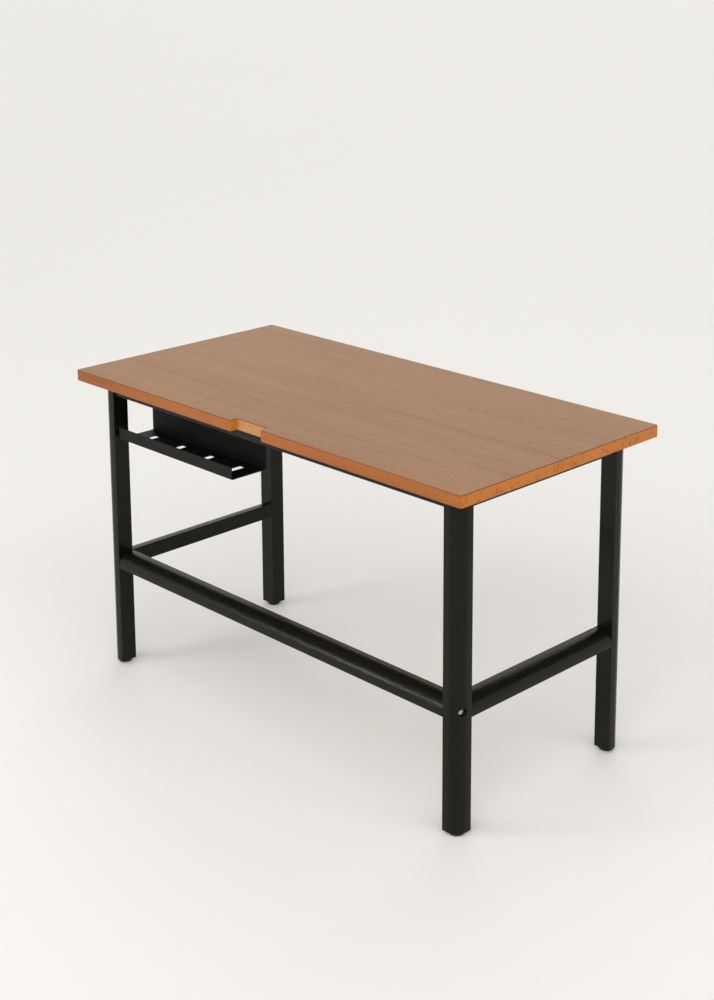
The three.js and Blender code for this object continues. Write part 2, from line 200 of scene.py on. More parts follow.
# the top's arris colour is painted shade along its level eased edges
topWood = {
    "boards": 6, "seed": 11, "width": 0.6, "height": 0.72, "heartDepth": 0.035, "heartSpread": 0.07,
    "pale": (0.360, 0.170, 0.056), "deep": (0.220, 0.092, 0.026), "pore": (0.130, 0.048, 0.013),
    "edge": (0.470, 0.150, 0.014), "edgeDeep": (0.250, 0.066, 0.003), "arris": (0.16, 0.035, 0.010),
    "raw": (0.53, 0.28, 0.10), "rawDeep": (0.40, 0.18, 0.055), "ringSpacing": 0.0062, "toneSpread": 0.04,
    "streakAt": -0.015, "streakApart": 0.013, "streakWidth": 0.0035,
    "oiledRoughness": 0.34, "sawnRoughness": 0.60, "shine": 0.32, "coat": 0.04, "coatRoughness": 0.3,
}
# the long-side and left-end shares are painted shade that darkens the top's edges
toneShares = {                                         # how much each figure lightens the top's wood
    "base": 0.26, "streak": 0.20, "cloud": 0.30, "ring": 0.06, "fibre": 0.26, "dark": 0.50, "lines": 0.9,
    "endRing": 0.22, "longSide": 0.32, "leftEnd": 0.4,
}
# the black wood's arris colour is a painted highlight on the eased edges
blackWood = {
    "deep": (0.0019, 0.0023, 0.0010), "pale": (0.0062, 0.0070, 0.0040), "arris": (0.022, 0.022, 0.017),
    "gloss": 0.12, "shine": 0.16,
}
powderCoat = {
    "deep": (0.0022, 0.0023, 0.0020), "pale": (0.0060, 0.0062, 0.0056), "arris": (0.030, 0.031, 0.029),
    "roughness": 0.42, "shine": 0.15,
}
zincPlate = {
    "deep": (0.62, 0.55, 0.52), "pale": (0.95, 0.86, 0.83), "arris": (0.93, 0.91, 0.90),
    "roughness": 0.14, "metallic": 0.75,
}
beech = {
    "deep": (0.42, 0.24, 0.12), "pale": (0.70, 0.47, 0.28), "arris": (0.35, 0.19, 0.09),
    "roughness": 0.55, "shine": 0.35,
}
nylon = {
    "deep": (0.005, 0.005, 0.005), "pale": (0.017, 0.017, 0.016), "arris": (0.055, 0.054, 0.050),
    "roughness": 0.34, "shine": 0.4,
}


def boardSums(finish, across):
    # which board a point is in, and where that board's heart lies
    draw = random.Random(topWood["seed"])
    widths = [draw.uniform(0.75, 1.25) for _ in range(topWood["boards"])]
    share = topWood["width"] / sum(widths)
    seams = [-topWood["width"] / 2]
    for width in widths:
        seams.append(seams[-1] + width * share)
    hearts = [(low + high) / 2 + draw.uniform(-0.03, 0.03) for low, high in zip(seams, seams[1:])]
    number, heart = 0, hearts[0]
    for seam, before, after in zip(seams[1:-1], hearts, hearts[1:]):
        past = across > seam
        number = past + number
        heart = past * (after - before) + heart
    return number, heart


def topGrain(finish):
    # growth rings round each board's heart, cut by the faces, with fibres, streaks and clouds along it
    axes = finish.node("ShaderNodeSeparateXYZ", {}, {0: finish.place})
    across = Wire(finish, axes.socket.node.outputs["Y"])
    up = Wire(finish, axes.socket.node.outputs["Z"])
    number, heart = boardSums(finish, across)
    chance = finish.node("ShaderNodeTexWhiteNoise", {"noise_dimensions": "1D"}, {"W": number}, "Value")
    colourChance = finish.node("ShaderNodeTexWhiteNoise", {"noise_dimensions": "1D"}, {"W": number + 7.3},
                               "Color")
    shift = finish.node("ShaderNodeVectorMath", {"operation": "SCALE"}, {0: colourChance, "Scale": 3})
    boardPlace = finish.node("ShaderNodeVectorMath", {"operation": "ADD"}, {0: finish.place, 1: shift})
    sway = finish.noise((1.1, 9, 9), 2, 0.5, boardPlace)
    side = across - heart + (sway - 0.5) * 0.022
    depth = up - topWood["height"] + topWood["heartDepth"] + chance * topWood["heartSpread"]
    ringReach = (side * side + depth * depth) ** 0.5
    ring = finish.node("ShaderNodeMath", {"operation": "SINE"}, {
        0: ringReach * (2 * math.pi / topWood["ringSpacing"])}) * 0.5 + 0.5
    fibre = finish.noise((14, 620, 620), 4, 0.65, boardPlace)
    streak = finish.noise((2.2, 105, 105), 4, 0.6, boardPlace)
    cloud = finish.noise((1.8, 10, 10), 3, 0.55, boardPlace)
    along = Wire(finish, axes.socket.node.outputs["X"])
    return along, across, chance, ring, fibre, streak, cloud, sway


def topFinish(name, pale, deep, edgePale, edgeDeep, leastRoughness):
    finish = Finish(bpy.data.materials.new(name))
    share = toneShares
    along, across, chance, ring, fibre, streak, cloud, sway = topGrain(finish)
    dark = finish.range(finish.noise((1.5, 42, 42), 4, 0.62), 0.55, 0.72)
    fromStreak = across - topWood["streakAt"] - (sway - 0.5) * 0.02
    fromLine = (fromStreak * fromStreak) ** 0.5 - topWood["streakApart"] / 2      # a pair of dark lines
    longStreak = finish.range((fromLine * fromLine) ** 0.5, 0, topWood["streakWidth"], 1, 0)
    longStreak = longStreak * finish.range(along, -0.15, 0.3) * finish.range(fibre, 0.3, 0.6, 0.4, 1)
    tone = (finish.range(streak, 0.32, 0.68) * share["streak"]
            + finish.range(cloud, 0.34, 0.66) * share["cloud"] + ring * share["ring"]
            + fibre * share["fibre"] + chance * topWood["toneSpread"] + share["base"]
            - dark * share["dark"] - longStreak * share["lines"])
    turned = finish.node("ShaderNodeSeparateXYZ", {}, {0: finish.node("ShaderNodeTexCoord", out="Normal")})
    facing = Wire(finish, turned.socket.node.outputs["Z"])
    endwise = Wire(finish, turned.socket.node.outputs["X"])
    flat = finish.range(facing * facing, 0.6, 0.95)
    patch = finish.range(finish.noise((1, 95, 55), 3, 0.6), 0.5, 0.66, 0.42, -0.35)
    # painted shade: the long sides are drawn darker than the ends, and the edges darker towards the left end
    edgeTone = (tone + (ring * share["endRing"] + patch) * finish.range(endwise * endwise, 0.5, 0.9)
                - finish.range(endwise * endwise, 0.5, 0.9, share["longSide"], 0)
                - finish.range(along, -0.6, 0.1, share["leftEnd"], 0)
                * finish.range(cloud, 0.3, 0.7, 0.7, 1.2))
    body = finish.mix(flat, finish.mix(edgeTone, edgeDeep, edgePale), finish.mix(tone, deep, pale))
    pores = finish.range(finish.noise((38, 260, 260), 3, 0.6), 0.57, 0.67)
    colour = finish.mix(pores * 0.5, body, topWood["pore"])
    # painted shade: a thin dark red line is drawn along the level eased edges, patchy along the top
    level = finish.range(facing * facing, 0.01, 0.08)      # upright corners keep the body's colour
    edgeMark = finish.arris() * level * finish.range(cloud, 0.3, 0.6, 0.65, 1.0)
    colour = finish.mix(edgeMark, colour, topWood["arris"])
    roughness = fibre * 0.16 + ring * 0.05 + leastRoughness
    height = fibre * 0.6 + ring * 0.15 + streak * 0.25 - pores * 0.5
    return finish.surface(Base_Color=colour, Roughness=roughness, Specular_IOR_Level=topWood["shine"],
                          Coat_Weight=topWood["coat"], Coat_Roughness=topWood["coatRoughness"],
                          Normal=finish.bump(height, 0.28, 0.0004))


def blackWoodFinish(name, grainAxis):
    # open-grained wood stained black, with its fibres along one axis
    finish = Finish(bpy.data.materials.new(name))

    def along(lengthways, across):
        return tuple(lengthways if axis == grainAxis else across for axis in range(3))

    figure = finish.noise(along(3.2, 26), 3, 0.5, distortion=0.8)
    line = finish.node("ShaderNodeMath", {"operation": "SINE"}, {0: figure * 95}) * 0.5 + 0.5
    fibre = finish.noise(along(9, 520), 4, 0.65)
    pore = finish.range(finish.noise(along(26, 900), 2, 0.5), 0.56, 0.68)
    cloud = finish.noise(along(2.5, 20), 2, 0.5)
    tone = fibre * 0.45 + line * 0.12 + finish.range(cloud, 0.3, 0.7) * 0.3 + 0.1 - pore * 0.25
    colour = finish.mix(tone, blackWood["deep"], blackWood["pale"])
    # painted highlight: the eased edges are drawn lighter, in patches
    edgeMark = finish.arris() * finish.range(finish.noise((60, 60, 60), 3), 0.42, 0.62, 0.15, 0.9)
    colour = finish.mix(edgeMark, colour, blackWood["arris"])
    roughness = fibre * 0.12 + pore * 0.12 + cloud * 0.06 + blackWood["gloss"]
    height = fibre * 0.4 + line * 0.6 - pore * 0.6
    return finish.surface(Base_Color=colour, Roughness=roughness, Specular_IOR_Level=blackWood["shine"],
                          Normal=finish.bump(height, 0.28, 0.0005))


def powderCoatFinish(name):
    finish = Finish(bpy.data.materials.new(name))
    peel = finish.noise((950, 950, 950), 2, 0.5)
    speck = finish.noise((240, 240, 240), 3, 0.6)
    cloud = finish.noise((9, 9, 9), 3, 0.5)
    colour = finish.mix(peel * 0.5 + cloud * 0.5, powderCoat["deep"], powderCoat["pale"])
    edgeMark = finish.arris() * finish.range(speck, 0.45, 0.65, 0.1, 0.8)
    colour = finish.mix(edgeMark, colour, powderCoat["arris"])
    roughness = peel * 0.12 + cloud * 0.10 + powderCoat["roughness"]
    return finish.surface(Base_Color=colour, Roughness=roughness, Specular_IOR_Level=powderCoat["shine"],
                          Normal=finish.bump(peel * 0.7 + speck * 0.3, 0.22, 0.0003))


def zincFinish(name):
    finish = Finish(bpy.data.materials.new(name))
    brushed = finish.noise((380, 380, 2200), 3, 0.6)
    stain = finish.noise((120, 120, 120), 3, 0.55)
    colour = finish.mix(stain, zincPlate["deep"], zincPlate["pale"])
    edgeMark = finish.arris() * finish.range(brushed, 0.35, 0.6, 0.2, 0.9)
    colour = finish.mix(edgeMark, colour, zincPlate["arris"])
    roughness = brushed * 0.18 + stain * 0.14 + zincPlate["roughness"]
    return finish.surface(Base_Color=colour, Roughness=roughness, Metallic=zincPlate["metallic"],
                          Normal=finish.bump(brushed, 0.15, 0.0001))


def beechFinish(name, grainAxis):
    finish = Finish(bpy.data.materials.new(name))
    stretch = tuple(20 if axis == grainAxis else 480 for axis in range(3))
    fleck = finish.noise(stretch, 3, 0.6)
    cloud = finish.noise((70, 70, 70), 2, 0.5)
    colour = finish.mix(fleck * 0.6 + cloud * 0.4, beech["deep"], beech["pale"])
    colour = finish.mix(finish.arris() * cloud, colour, beech["arris"])
    roughness = fleck * 0.2 + beech["roughness"]
    return finish.surface(Base_Color=colour, Roughness=roughness, Specular_IOR_Level=beech["shine"],
                          Normal=finish.bump(fleck, 0.3, 0.0002))


def nylonFinish(name):
    finish = Finish(bpy.data.materials.new(name))
    grain = finish.noise((1300, 1300, 1300), 2, 0.5)
    scuff = finish.noise((150, 150, 40), 3, 0.6)
    colour = finish.mix(grain * 0.4 + scuff * 0.6, nylon["deep"], nylon["pale"])
    edgeMark = finish.arris() * finish.range(scuff, 0.4, 0.65, 0.1, 0.8)
    colour = finish.mix(edgeMark, colour, nylon["arris"])
    roughness = scuff * 0.25 + grain * 0.1 + nylon["roughness"]
    return finish.surface(Base_Color=colour, Roughness=roughness, Specular_IOR_Level=nylon["shine"],
                          Normal=finish.bump(grain, 0.2, 0.0002))


def floorFinish(name):
    finish = Finish(bpy.data.materials.new(name))
    drift = finish.noise((0.35, 0.35, 0.35), 2, 0.5)
    colour = finish.mix(drift, studio["floorColour"], tuple(0.985 * part for part in studio["floorColour"]))
    return finish.surface(Base_Color=colour, Roughness=0.6, Specular_IOR_Level=0.4)


def setFloorAndSky():
    bpy.ops.mesh.primitive_plane_add(size=studio["floorSize"], location=(0, 0, 0))
    floor = bpy.context.object
    floor.name = "studioFloor"
    floor.data.materials.append(floorFinish("paleFloor"))
    world = bpy.data.worlds.new("studioSky")
    bpy.context.scene.world = world
    sky = Finish(world, "Generated")
    height = sky.node("ShaderNodeSeparateXYZ", {}, {0: sky.place}, "Z")
    level = sky.node("ShaderNodeVectorMath", {"operation": "MULTIPLY"}, {0: sky.place, 1: (1, 1, 0)})
    level = sky.node("ShaderNodeVectorMath", {"operation": "NORMALIZE"}, {0: level})
    facing = sky.node("ShaderNodeVectorMath", {"operation": "DOT_PRODUCT"}, {
        0: level, 1: studio["sideFacing"]}, "Value")
    dimmed = sky.ramp(facing * 0.5 + 0.5, studio["sideWindow"])
    brightness = sky.mix(dimmed, sky.ramp(height, studio["openBands"]), sky.ramp(height, studio["sideBands"]))
    colour = sky.mix(1, brightness, studio["skyTint"], "MULTIPLY")
    light = sky.node("ShaderNodeBackground", {}, {"Color": colour, "Strength": studio["skyStrength"]})
    sky.node("ShaderNodeOutputWorld", {}, {"Surface": light})
    bpy.context.scene.view_settings.view_transform = "Standard"


setCamera()
setLamps()
setFloorAndSky()
finishes = {
    "topWood": topFinish("oiledTopWood", topWood["pale"], topWood["deep"], topWood["edge"],
                         topWood["edgeDeep"], topWood["oiledRoughness"]),
    "rawWood": topFinish("sawnTopWood", topWood["raw"], topWood["rawDeep"], topWood["raw"],
                         topWood["rawDeep"], topWood["sawnRoughness"]),
    "blackAlongX": blackWoodFinish("blackWoodAlongX", 0),
    "blackAlongY": blackWoodFinish("blackWoodAlongY", 1),
    "blackAlongZ": blackWoodFinish("blackWoodAlongZ", 2),
    "powderCoat": powderCoatFinish("blackPowderCoat"),
    "zinc": zincFinish("zincPlate"),
    "beechAlongX": beechFinish("beechAlongX", 0),
    "beechAlongY": beechFinish("beechAlongY", 1),
    "nylon": nylonFinish("blackNylon"),
}
print("camera, lights, floor and", len(finishes), "finishes made")


# Modelling steps

def deselectAll():
    bpy.ops.object.select_all(action="DESELECT")


def focus(piece):
    deselectAll()
    piece.select_set(True)
    bpy.context.view_layer.objects.active = piece


def settle(piece):                                     # puts the piece's place into its mesh
    focus(piece)
    bpy.ops.object.transform_apply(location=True, rotation=True, scale=True)


def addBlock(name, low, high):
    deselectAll()
    low, high = Vector(low), Vector(high)
    bpy.ops.mesh.primitive_cube_add(size=1, location=(low + high) / 2, scale=high - low)
    block = bpy.context.object
    block.name = name
    settle(block)
    return block


def addRod(name, radius, start, end, sides=32):
    deselectAll()
    start, end = Vector(start), Vector(end)
    bpy.ops.mesh.primitive_cylinder_add(vertices=sides, radius=radius, depth=(end - start).length,
                                        location=(start + end) / 2)
    rod = bpy.context.object
    rod.name = name
    rod.rotation_euler = (end - start).to_track_quat("Z", "Y").to_euler()
    settle(rod)
    return rod


def middleOf(node):
    low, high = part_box(node)
    return (low + high) / 2


def edit(piece, on=True):
    if on:
        focus(piece)
    bpy.ops.object.mode_set(mode="EDIT" if on else "OBJECT")


def pickEdges(piece, test):                            # test takes the edge's two ends
    bpy.ops.mesh.select_mode(type="EDGE")
    bpy.ops.mesh.select_all(action="DESELECT")
    shape = bmesh.from_edit_mesh(piece.data)
    for edge in shape.edges:
        edge.select_set(bool(test(*(corner.co for corner in edge.verts))))
    bmesh.update_edit_mesh(piece.data)


def pickFaces(piece, test):                            # test takes the face's middle and normal
    bpy.ops.mesh.select_mode(type="FACE")
    bpy.ops.mesh.select_all(action="DESELECT")
    shape = bmesh.from_edit_mesh(piece.data)
    for face in shape.faces:
        face.select_set(bool(test(face.calc_center_median(), face.normal)))
    bmesh.update_edit_mesh(piece.data)


def near(first, second):
    return abs(first - second) < 0.02 * mm


def atPlane(axis, value):                              # an edge test: both ends in one plane
    return lambda start, end: near(start[axis], value) and near(end[axis], value)


def atEitherPlane(axis, first, second):
    return lambda start, end: atPlane(axis, first)(start, end) or atPlane(axis, second)(start, end)


def onLine(first, second):                             # first and second are each an axis and a value
    return lambda start, end: atPlane(*first)(start, end) and atPlane(*second)(start, end)


def bevelPicked(width, steps):
    bpy.ops.mesh.bevel(offset=width, offset_type="OFFSET", segments=steps, profile=0.5, affect="EDGES")


def bisectAll(place, normal):
    bpy.ops.mesh.select_all(action="SELECT")
    bpy.ops.mesh.bisect(plane_co=place, plane_no=normal)


def extrudePicked(move):
    bpy.ops.mesh.extrude_region_move(TRANSFORM_OT_translate={"value": move})


def combine(piece, other, how="DIFFERENCE"):
    focus(piece)
    bpy.ops.object.modifier_add(type="BOOLEAN")
    modifier = piece.modifiers[-1]
    modifier.operation = how
    modifier.solver = "EXACT"
    modifier.object = other
    bpy.ops.object.modifier_apply(modifier=modifier.name)
    bpy.data.objects.remove(other)


def markArrises(piece, widest):                        # the narrow faces are the eased edges
    layer = piece.data.attributes.new("arris", "FLOAT", "FACE")
    for face in piece.data.polygons:
        ends = [piece.data.vertices[number].co for number in face.vertices]
        around = sum((a - b).length for a, b in zip(ends, ends[1:] + ends[:1]))
        layer.data[face.index].value = 1.0 if 2 * face.area < widest * around else 0.0


def finishShape(piece, arrisWidth, sharpAngle=38):
    edit(piece)
    bpy.ops.mesh.select_all(action="SELECT")
    bpy.ops.mesh.remove_doubles(threshold=0.002 * mm)
    bpy.ops.mesh.select_all(action="SELECT")
    bpy.ops.mesh.normals_make_consistent(inside=False)
    edit(piece, False)
    markArrises(piece, arrisWidth)
    bpy.ops.object.shade_smooth_by_angle(angle=math.radians(sharpAngle))
    bpy.ops.object.modifier_add(type="WEIGHTED_NORMAL")
    piece.modifiers[-1].keep_sharp = True
    bpy.ops.object.modifier_apply(modifier=piece.modifiers[-1].name)
    settle(piece)


def dress(piece, finish, slot, body, *nodes):
    if not piece.data.materials:
        piece.data.materials.append(finishes[finish])
    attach(piece, body)
    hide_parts(*nodes)


# The top

board = {"notchWidth": 95 * mm, "notchDepth": 18 * mm, "cornerRound": 6 * mm, "arris": 1.5 * mm,
         "notchRound": 2.5 * mm, "widestArris": 1 * mm}


def makeTop():
    low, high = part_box("top_panel")
    halfNotch = board["notchWidth"] / 2
    notchBack = low.y + board["notchDepth"]
    deselectAll()
    size = high - low
    bpy.ops.mesh.primitive_plane_add(size=1, location=(0, 0, low.z))
    top = bpy.context.object
    top.name = "topBoard"
    top.scale = (size.x, size.y, 1)
    settle(top)
    edit(top)
    bisectAll((-halfNotch, 0, 0), (1, 0, 0))
    bisectAll((halfNotch, 0, 0), (1, 0, 0))
    bisectAll((0, notchBack, 0), (0, 1, 0))
    pickFaces(top, lambda middle, normal: abs(middle.x) < halfNotch and middle.y < notchBack)
    bpy.ops.mesh.delete(type="FACE")
    bpy.ops.mesh.select_all(action="SELECT")
    bpy.ops.mesh.dissolve_limited(angle_limit=math.radians(1))
    bpy.ops.mesh.select_all(action="SELECT")
    extrudePicked((0, 0, size.z))

    def upright(start, end):
        return abs(start.z - end.z) > size.z / 2

    pickEdges(top, lambda start, end: upright(start, end) and abs(start.x) > halfNotch * 2)
    bevelPicked(board["cornerRound"], 7)
    pickEdges(top, lambda start, end: upright(start, end) and abs(start.x) < halfNotch * 2
              and near(start.y, low.y))
    bevelPicked(board["notchRound"], 4)
    pickEdges(top, atEitherPlane(2, low.z, high.z))
    bevelPicked(board["arris"], 4)
    edit(top, False)
    finishShape(top, board["widestArris"])
    top.data.materials.append(finishes["topWood"])
    top.data.materials.append(finishes["rawWood"])
    for face in top.data.polygons:
        inNotch = abs(face.center.x) < halfNotch and face.center.y > low.y + board["notchDepth"] / 2
        if inNotch and face.normal.y < -0.9:               # the sawn back of the notch
            face.material_index = 1
    dress(top, "topWood", "top_wood", "table", "top_panel")


makeTop()
print("top made")


# Legs, rails and stretchers

bar = {"round": 28 * mm, "roundSteps": 14, "arris": 1 * mm, "endArris": 0.9 * mm, "widestArris": 0.8 * mm}
blackAlong = ("blackAlongX", "blackAlongY", "blackAlongZ")
bores = {"counterbore": 8.35 * mm, "counterboreDepth": 16.3 * mm, "shank": 4.5 * mm,
         "insert": 6.3 * mm, "insertDepth": 15.3 * mm, "stud": 4.6 * mm, "studTop": 36 * mm,
         "screwHead": 5.5 * mm, "screwSunk": 7 * mm, "nut": 5.3 * mm, "nutDepth": 26.3 * mm}


def makeBar(name, node, grainAxis, roundEdge=None):
    # a bar along one axis with eased edges, and one broad round edge where a test is given
    low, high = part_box(node)
    made = addBlock(name, low, high)
    edit(made)
    if roundEdge:
        pickEdges(made, roundEdge)
        bevelPicked(bar["round"], bar["roundSteps"])

    def sharpLong(start, end):
        longEnough = abs(start[grainAxis] - end[grainAxis]) > (high - low)[grainAxis] / 2
        return longEnough and onBoxCorner(start, low, high, grainAxis)

    pickEdges(made, sharpLong)
    bevelPicked(bar["arris"], 3)
    pickEdges(made, atEitherPlane(grainAxis, low[grainAxis], high[grainAxis]))
    bevelPicked(bar["endArris"], 2)
    edit(made, False)
    return made, low, high


def onBoxCorner(point, low, high, grainAxis):
    return all(near(point[axis], low[axis]) or near(point[axis], high[axis])
               for axis in range(3) if axis != grainAxis)


def makeLeg(name, corner, signX, signY):
    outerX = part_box(f"leg_{corner}")[signX > 0].x
    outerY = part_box(f"leg_{corner}")[signY > 0].y
    made, low, high = makeBar(f"leg{name}", f"leg_{corner}", 2, onLine((0, outerX), (1, outerY)))
    glide = middleOf(f"glide_stud_{corner}")
    combine(made, addRod("cutter", bores["insert"], (glide.x, glide.y, low.z - mm),
                         (glide.x, glide.y, low.z + bores["insertDepth"])))
    combine(made, addRod("cutter", bores["stud"], (glide.x, glide.y, low.z),
                         (glide.x, glide.y, bores["studTop"])))
    if signY < 0:
        side = "left" if signX < 0 else "right"
        bolt = middleOf(f"stretcher_bolt_{side}")
        seat = outerX - signX * bores["counterboreDepth"]
        combine(made, addRod("cutter", bores["counterbore"], (seat, bolt.y, bolt.z),
                             (outerX + signX * mm, bolt.y, bolt.z), 48))
        inner = outerX - signX * (high.x - low.x)
        combine(made, addRod("cutter", bores["shank"], (inner - signX * mm, bolt.y, bolt.z),
                             (seat + signX * mm, bolt.y, bolt.z)))
    finishShape(made, bar["widestArris"])
    dress(made, blackAlong[2], "black_wood", "table", f"leg_{corner}")


def makeRail(name, node, grainAxis, screws):
    made, low, _ = makeBar(name, node, grainAxis)
    for screw in screws:
        middle = middleOf(screw)
        combine(made, addRod("cutter", bores["screwHead"], (middle.x, middle.y, low.z - mm),
                             (middle.x, middle.y, low.z + bores["screwSunk"])))
    finishShape(made, bar["widestArris"])
    dress(made, blackAlong[grainAxis], "black_wood", "table", node)


def makeStretcher(side, grainAxis, outAxis, outSign):
    node = f"stretcher_{side}"
    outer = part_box(node)[outSign > 0][outAxis]
    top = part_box(node)[1].z
    made, low, _ = makeBar(f"stretcher{side.capitalize()}", node, grainAxis,
                           onLine((outAxis, outer), (2, top)))
    if side == "front":
        for nutSide in ("left", "right"):
            nut = middleOf(f"barrel_nut_{nutSide}")
            combine(made, addRod("cutter", bores["nut"], (nut.x, nut.y, low.z - mm),
                                 (nut.x, nut.y, low.z + bores["nutDepth"])))
    finishShape(made, bar["widestArris"])
    dress(made, blackAlong[grainAxis], "black_wood", "table", node)


for name, (corner, signX, signY) in corners.items():
    makeLeg(name, corner, signX, signY)
for side in ("front", "rear"):
    makeRail(f"rail{side.capitalize()}", f"rail_{side}", 0,
             [f"top_screw_long_{side}_{end}" for end in ("left", "right")])
for side in ("left", "right"):
    makeRail(f"rail{side.capitalize()}", f"rail_{side}", 1,
             [f"top_screw_side_{end}_{side}" for end in ("front", "rear")])
makeStretcher("front", 0, 1, -1)
makeStretcher("left", 1, 0, -1)
makeStretcher("right", 1, 0, 1)
print("legs, rails and stretchers made")


# The cable tray: one sheet folded into a lip, a floor, a back and a flange under the top

tray = {"sheet": 2 * mm, "lip": 28 * mm, "flange": 25 * mm, "bend": 3 * mm, "bendSteps": 6,
        "slots": 4, "slotPitch": 101 * mm, "slotWidth": 17 * mm, "slotLength": 46 * mm,
        "slotRound": 2 * mm, "edge": 0.35 * mm, "sharpFrom": 50, "screws": 4, "screwHole": 2.6 * mm,
        "widestArris": 0.3 * mm}


def makeTray():
    low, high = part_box("under_top_tray")
    back = high.y - tray["flange"]
    deselectAll()
    bpy.ops.mesh.primitive_plane_add(size=1, location=((low.x + high.x) / 2, (low.y + back) / 2, low.z))
    made = bpy.context.object
    made.name = "cableTray"
    made.scale = (high.x - low.x, back - low.y, 1)
    settle(made)
    edit(made)
    pickEdges(made, atPlane(1, low.y))
    extrudePicked((0, 0, tray["lip"]))
    pickEdges(made, onLine((1, back), (2, low.z)))
    flangeBelow = high.z - tray["sheet"]
    extrudePicked((0, 0, flangeBelow - low.z))
    extrudePicked((0, tray["flange"], 0))
    innerBend = tray["bend"] - tray["sheet"]
    bends = ((low.y, low.z, tray["bend"]), (back, low.z, tray["bend"]), (back, flangeBelow, innerBend))
    for y, z, bend in bends:
        pickEdges(made, onLine((1, y), (2, z)))
        bevelPicked(bend, tray["bendSteps"])
    bpy.ops.mesh.select_all(action="SELECT")
    bpy.ops.mesh.normals_make_consistent(inside=False)
    edit(made, False)
    bpy.ops.object.modifier_add(type="SOLIDIFY")
    thick = made.modifiers[-1]
    thick.thickness = tray["sheet"]
    middleFace = min(made.data.polygons, key=lambda face: (face.center - Vector(
        ((low.x + high.x) / 2, (low.y + back) / 2, low.z))).length)
    thick.offset = -1 if middleFace.normal.z < 0 else 1
    thick.use_even_offset = True
    bpy.ops.object.modifier_apply(modifier=thick.name)
    firstSlot = (low.x + high.x) / 2 - tray["slotPitch"] * (tray["slots"] - 1) / 2
    half = Vector((tray["slotWidth"] / 2, tray["slotLength"] / 2, 4 * tray["sheet"]))
    middle = Vector((firstSlot, (low.y + back) / 2, low.z))
    cutter = addBlock("cutter", middle - half, middle + half)
    edit(cutter)
    pickEdges(cutter, lambda start, end: abs(start.z - end.z) > half.z)
    bevelPicked(tray["slotRound"], 4)
    edit(cutter, False)
    bpy.ops.object.modifier_add(type="ARRAY")
    rows = cutter.modifiers[-1]
    rows.count = tray["slots"]
    rows.use_relative_offset = False
    rows.use_constant_offset = True
    rows.constant_offset_displace = (tray["slotPitch"], 0, 0)
    bpy.ops.object.modifier_apply(modifier=rows.name)
    combine(made, cutter)
    for number in range(1, tray["screws"] + 1):
        screw = middleOf(f"tray_screw_{number}")
        combine(made, addRod("cutter", tray["screwHole"], (screw.x, screw.y, high.z - 4 * tray["sheet"]),
                             (screw.x, screw.y, high.z + mm), 24))
    focus(made)
    bpy.ops.object.modifier_add(type="BEVEL")
    soft = made.modifiers[-1]
    soft.width = tray["edge"]
    soft.segments = 2
    soft.limit_method = "ANGLE"
    soft.angle_limit = math.radians(tray["sharpFrom"])
    bpy.ops.object.modifier_apply(modifier=soft.name)
    finishShape(made, tray["widestArris"])
    dress(made, "powderCoat", "black_steel", "table", "under_top_tray")


makeTray()
print("tray made")


# Bolts, barrel nuts and screws

boltShape = {"head": 6.5 * mm, "headLength": 8 * mm, "shank": 4 * mm, "socket": 3.4 * mm,
             "socketDepth": 4 * mm, "edge": 0.8 * mm, "tip": 1 * mm, "widestArris": 0.3 * mm}
nutShape = {"radius": 5 * mm, "slotWidth": 1.6 * mm, "slotDepth": 1.5 * mm, "edge": 0.4 * mm,
            "boltGap": 0.3 * mm, "cutReach": 8 * mm, "widestArris": 0.3 * mm}
topScrew = {"head": 4.5 * mm, "headLength": 2.6 * mm, "shank": 2.2 * mm}
trayScrew = {"head": 4 * mm, "headLength": 2.4 * mm, "shank": 2 * mm}
screwShape = {"dome": 0.6, "tip": 3.2 * mm, "crossWidth": 1.1 * mm, "crossLength": 4.2 * mm,
              "crossDepth": 1.4 * mm, "tipShare": 0.1, "widestArris": 0.35 * mm}


def makeBolt(side, sign):
    node = f"stretcher_bolt_{side}"
    low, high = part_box(node)
    middle = (low + high) / 2
    headFace = high.x if sign > 0 else low.x
    tip = low.x if sign > 0 else high.x
    seat = headFace - sign * boltShape["headLength"]
    made = addRod(f"bolt{side.capitalize()}", boltShape["head"], (seat, middle.y, middle.z),
                  (headFace, middle.y, middle.z), 48)
    edit(made)
    pickFaces(made, lambda place, normal: near(place.x, seat))
    bpy.ops.mesh.inset(thickness=boltShape["head"] - boltShape["shank"])
    extrudePicked((tip - seat, 0, 0))
    pickEdges(made, atPlane(0, headFace))
    bevelPicked(boltShape["edge"], 4)
    pickEdges(made, atPlane(0, tip))
    bevelPicked(boltShape["tip"], 2)
    edit(made, False)
    socketFloor = headFace - sign * boltShape["socketDepth"]
    combine(made, addRod("cutter", boltShape["socket"], (socketFloor, middle.y, middle.z),
                         (headFace + sign * mm, middle.y, middle.z), 6))
    finishShape(made, boltShape["widestArris"])
    dress(made, "zinc", "zinc_steel", "table", node)


def makeNut(side):
    node = f"barrel_nut_{side}"
    low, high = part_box(node)
    middle = (low + high) / 2
    made = addRod(f"barrelNut{side.capitalize()}", nutShape["radius"], (middle.x, middle.y, low.z),
                  (middle.x, middle.y, high.z))
    edit(made)
    pickEdges(made, atEitherPlane(2, low.z, high.z))
    bevelPicked(nutShape["edge"], 3)
    edit(made, False)
    half, reach = nutShape["slotWidth"] / 2, nutShape["cutReach"]
    combine(made, addBlock("cutter", (middle.x - reach, middle.y - half, low.z - mm),
                           (middle.x + reach, middle.y + half, low.z + nutShape["slotDepth"])))
    bolt = middleOf(f"stretcher_bolt_{side}")
    boreRadius = boltShape["shank"] + nutShape["boltGap"]
    combine(made, addRod("cutter", boreRadius, (middle.x - reach, bolt.y, bolt.z),
                         (middle.x + reach, bolt.y, bolt.z)))
    finishShape(made, nutShape["widestArris"])
    dress(made, "zinc", "zinc_steel", "table", node)


